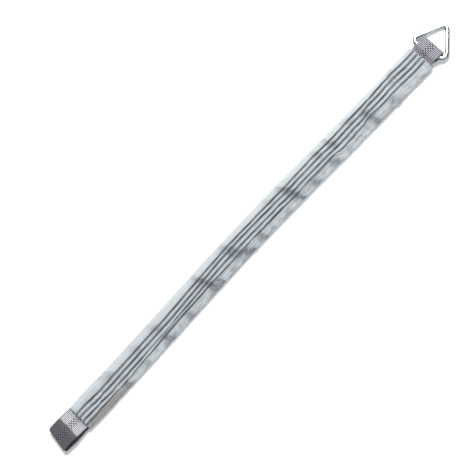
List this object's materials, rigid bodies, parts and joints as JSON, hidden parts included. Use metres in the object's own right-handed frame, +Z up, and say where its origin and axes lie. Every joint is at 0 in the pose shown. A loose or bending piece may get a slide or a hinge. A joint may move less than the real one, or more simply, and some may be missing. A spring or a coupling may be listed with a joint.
{
  "type": "flat web sling",
  "caption": "Flat web sling: grey webbing in a white striped wear sleeve, with a steel triangle ring at one end and a lined soft eye at the other.",
  "frame": {"origin": "middle of the underside of the sling's middle section, on the surface it lies on", "axes": "+X along the sling towards the ring, +Y across it, +Z up"},
  "size_m": [1.1021, 0.0777, 0.0165],
  "materials": {
    "web_grey": "ribbed woven polyester webbing",
    "sleeve_white": "close plain weave with four lengthwise dark stripes",
    "sleeve_hem": "turned-in hem of the woven sleeve",
    "sleeve_thread": "twisted sewing thread",
    "web_thread": "heavy twisted sewing thread",
    "lining_black": "smooth woven wear lining",
    "ring_steel": "bright plated round steel wire"
  },
  "bodies": {
    "strap_01": {"web_01": "web_grey", "sleeve_01": "sleeve_white", "sleeve_hem_eye": "sleeve_hem", "sleeve_stitching_eye": "sleeve_thread", "eye_base_web": "web_grey", "eye_stitching": "web_thread"},
    "strap_02": {"web_02": "web_grey", "sleeve_02": "sleeve_white"},
    "strap_03": {"web_03": "web_grey", "sleeve_03": "sleeve_white"},
    "strap_04": {"web_04": "web_grey", "sleeve_04": "sleeve_white"},
    "strap_05": {"web_05": "web_grey", "sleeve_05": "sleeve_white"},
    "strap_06": {"web_06": "web_grey", "sleeve_06": "sleeve_white"},
    "strap_07": {"web_07": "web_grey", "sleeve_07": "sleeve_white"},
    "strap_08": {"web_08": "web_grey", "sleeve_08": "sleeve_white"},
    "strap_09": {"web_09": "web_grey", "sleeve_09": "sleeve_white"},
    "strap_10": {"web_10": "web_grey", "sleeve_10": "sleeve_white"},
    "strap_11": {"web_11": "web_grey", "sleeve_11": "sleeve_white"},
    "strap_12": {"web_12": "web_grey", "sleeve_12": "sleeve_white"},
    "strap_13": {"web_13": "web_grey", "sleeve_13": "sleeve_white", "sleeve_hem_ring": "sleeve_hem", "sleeve_stitching_ring": "sleeve_thread", "ring_fold_web": "web_grey", "ring_liner": "lining_black", "ring_stitching": "web_thread"},
    "ring": {"triangle_ring": "ring_steel"},
    "eye_top_near_ply": {"eye_top_near": "web_grey", "eye_top_near_lining": "lining_black"},
    "eye_top_far_ply": {"eye_top_far": "web_grey", "eye_top_far_lining": "lining_black"},
    "eye_bottom_near_ply": {"eye_bottom_near": "web_grey", "eye_bottom_near_lining": "lining_black"},
    "eye_bottom_far_ply": {"eye_bottom_far": "web_grey", "eye_bottom_far_lining": "lining_black"}
  },
  "joints": [
    {"name": "ring_swing", "type": "hinge", "parent": "strap_13", "child": "ring", "pos_m": [0.49633, 0.0015, 0.00811], "axis": [0.1562, -0.9877, 0.0079], "range_deg": [-120, 130]},
    {"name": "eye_open", "type": "hinge", "parent": "strap_01", "child": "eye_top_near_ply", "pos_m": [-0.48998, 0, 0.00647], "axis": [0, 1, 0], "range_deg": [-3, 35]},
    {"name": "eye_top_fold", "type": "hinge", "parent": "eye_top_near_ply", "child": "eye_top_far_ply", "pos_m": [-0.5168, 0, 0.01215], "axis": [0, 1, 0], "range_deg": [-70, 6]},
    {"name": "eye_bottom_open", "type": "hinge", "parent": "strap_01", "child": "eye_bottom_near_ply", "pos_m": [-0.48998, 0, 0.00647], "axis": [0, 1, 0], "range_deg": [-35, 3]},
    {"name": "eye_bottom_fold", "type": "hinge", "parent": "eye_bottom_near_ply", "child": "eye_bottom_far_ply", "pos_m": [-0.51713, 0, 0.00264], "axis": [0, 1, 0], "range_deg": [-6, 70]},
    {"name": "strap_twist_ring_3", "type": "hinge", "parent": "strap_09", "child": "strap_10", "pos_m": [0.185, 0, 0.0045], "axis": [1, 0, 0], "range_deg": [-45, 45]},
    {"name": "strap_twist_ring_5", "type": "hinge", "parent": "strap_11", "child": "strap_12", "pos_m": [0.333, 0, 0.0045], "axis": [1, 0, 0], "range_deg": [-45, 45]},
    {"name": "strap_twist_eye_3", "type": "hinge", "parent": "strap_05", "child": "strap_04", "pos_m": [-0.185, 0, 0.0045], "axis": [-1, 0, 0], "range_deg": [-45, 45]},
    {"name": "strap_twist_eye_5", "type": "hinge", "parent": "strap_03", "child": "strap_02", "pos_m": [-0.333, 0, 0.0045], "axis": [-1, 0, 0], "range_deg": [-45, 45]},
    {"name": "strap_bend_ring_1", "type": "hinge", "parent": "strap_07", "child": "strap_08", "pos_m": [0.037, 0, 0.0045], "axis": [0, -1, 0], "range_deg": [-35, 35]},
    {"name": "strap_bend_ring_2", "type": "hinge", "parent": "strap_08", "child": "strap_09", "pos_m": [0.111, 0, 0.0045], "axis": [0, -1, 0], "range_deg": [-35, 35]},
    {"name": "strap_bend_ring_4", "type": "hinge", "parent": "strap_10", "child": "strap_11", "pos_m": [0.259, 0, 0.0045], "axis": [0, -1, 0], "range_deg": [-35, 35]},
    {"name": "strap_bend_ring_6", "type": "hinge", "parent": "strap_12", "child": "strap_13", "pos_m": [0.407, 0, 0.0045], "axis": [0, -1, 0], "range_deg": [-35, 35]},
    {"name": "strap_bend_eye_1", "type": "hinge", "parent": "strap_07", "child": "strap_06", "pos_m": [-0.037, 0, 0.0045], "axis": [0, 1, 0], "range_deg": [-35, 35]},
    {"name": "strap_bend_eye_2", "type": "hinge", "parent": "strap_06", "child": "strap_05", "pos_m": [-0.111, 0, 0.0045], "axis": [0, 1, 0], "range_deg": [-35, 35]},
    {"name": "strap_bend_eye_4", "type": "hinge", "parent": "strap_04", "child": "strap_03", "pos_m": [-0.259, 0, 0.0045], "axis": [0, 1, 0], "range_deg": [-35, 35]},
    {"name": "strap_bend_eye_6", "type": "hinge", "parent": "strap_02", "child": "strap_01", "pos_m": [-0.407, 0, 0.0045], "axis": [0, 1, 0], "range_deg": [-35, 35]}
  ],
  "couplings": [
    {"joint": "eye_top_fold", "follows": "eye_open", "ratio": -2},
    {"joint": "eye_bottom_open", "follows": "eye_open", "ratio": -1},
    {"joint": "eye_bottom_fold", "follows": "eye_open", "ratio": 2}
  ]
}
